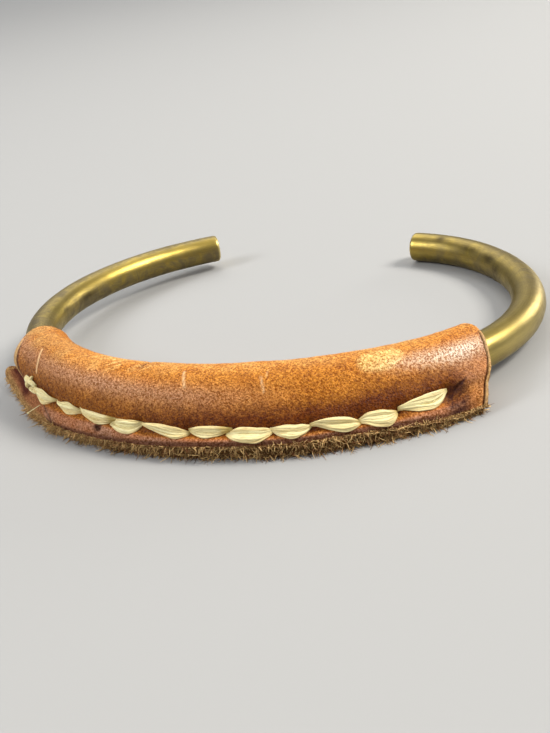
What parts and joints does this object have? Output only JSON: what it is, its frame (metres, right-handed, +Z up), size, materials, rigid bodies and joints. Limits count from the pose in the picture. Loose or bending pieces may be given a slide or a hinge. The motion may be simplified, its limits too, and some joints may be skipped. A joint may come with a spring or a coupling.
{
  "type": "cuff bracelet",
  "caption": "Open cuff bracelet: a bent round brass rod with a folded leather sleeve stitched into a flange along its front.",
  "frame": {"origin": "under the middle of the bracelet, on the surface it lies on", "axes": "+Z up off that surface; the leather sleeve faces -Y and the opening +Y; +X to the right end, across the wrist"},
  "size_m": [0.0658, 0.0598, 0.008],
  "materials": {
    "brass": "satin round rod, hand rubbed, tarnished olive in places",
    "leather": "tan vegetable leather, semi-gloss, worn, raw edges",
    "thread": "flat waxed sinew thread, cream"
  },
  "bodies": {
    "root": {"brass_rod": "brass", "leather_sleeve": "leather"}
  },
  "joints": []
}
